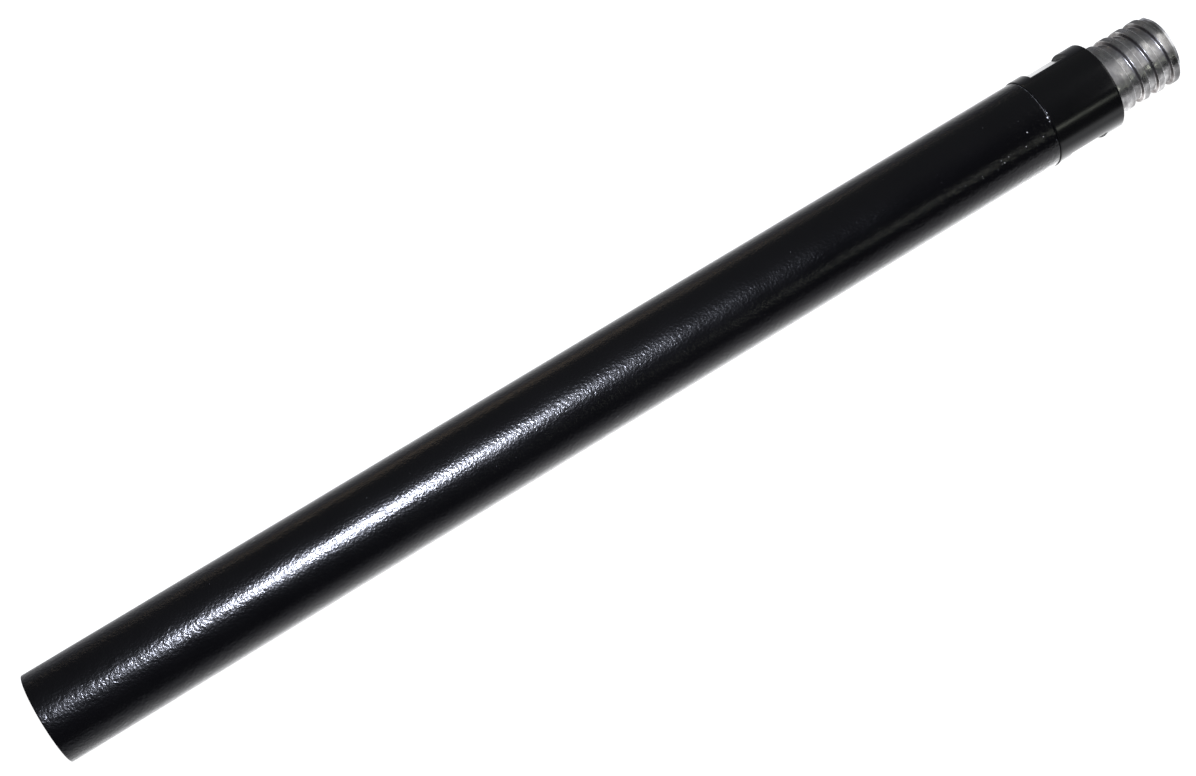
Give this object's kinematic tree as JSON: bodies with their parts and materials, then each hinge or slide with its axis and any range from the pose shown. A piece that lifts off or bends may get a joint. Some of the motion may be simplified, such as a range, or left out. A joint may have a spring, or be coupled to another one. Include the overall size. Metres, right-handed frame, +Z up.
{
  "type": "roller extension pole",
  "caption": "Telescoping roller extension pole with a black coated steel tube, a flatted head collar, a bare cast threaded tip and an internal cam twist lock.",
  "frame": {"origin": "centre of the butt face, on the pole's axis", "axes": "+X along the pole from the butt to the threaded tip, +Z up as the pole lies, the collar's grip flats face +Y and -Y, rolled 19.8 degrees about the pole as it lies"},
  "size_m": [0.3478, 0.026, 0.026],
  "materials": {
    "black_coating": "glossy orange-peel enamel",
    "collar_black": "smooth satin-gloss black",
    "cast_aluminium": "die-cast, bare",
    "zinc_plated_tube": "drawn, zinc plated",
    "natural_nylon": "moulded, natural",
    "spindle_nylon": "moulded, glass filled",
    "cam_acetal": "moulded, white",
    "black_polyethylene": "moulded, black",
    "black_rubber": "moulded",
    "spring_steel": "rolled, oiled",
    "zinc_hardware": "zinc plated"
  },
  "bodies": {
    "outer": {"outer_tube": "black_coating", "butt_plug": "black_polyethylene", "mouth_bushing": "natural_nylon"},
    "guide": {"guide_ring": "natural_nylon", "friction_ring": "black_rubber"},
    "inner": {"inner_tube": "zinc_plated_tube", "head_collar": "collar_black", "threaded_tip": "cast_aluminium", "tip_pin": "spring_steel", "lock_spindle": "spindle_nylon", "spindle_pin": "spring_steel", "cam_washer": "zinc_hardware", "cam_screw": "zinc_hardware"},
    "cam": {"cam_ring": "cam_acetal"}
  },
  "joints": [
    {"name": "extend", "type": "slide", "parent": "outer", "child": "guide", "axis": [1, 0, 0], "range_m": [0, 0.22]},
    {"name": "twist_lock", "type": "hinge", "parent": "guide", "child": "inner", "pos_m": [0.0606, 0, 0], "axis": [1, 0, 0], "range_deg": [-30, 30]},
    {"name": "cam_turn", "type": "hinge", "parent": "inner", "child": "cam", "pos_m": [0.04075, 0.001, 0], "axis": [1, 0, 0], "range_deg": [-30, 30]}
  ],
  "couplings": [
    {"joint": "cam_turn", "follows": "twist_lock", "ratio": -1}
  ]
}
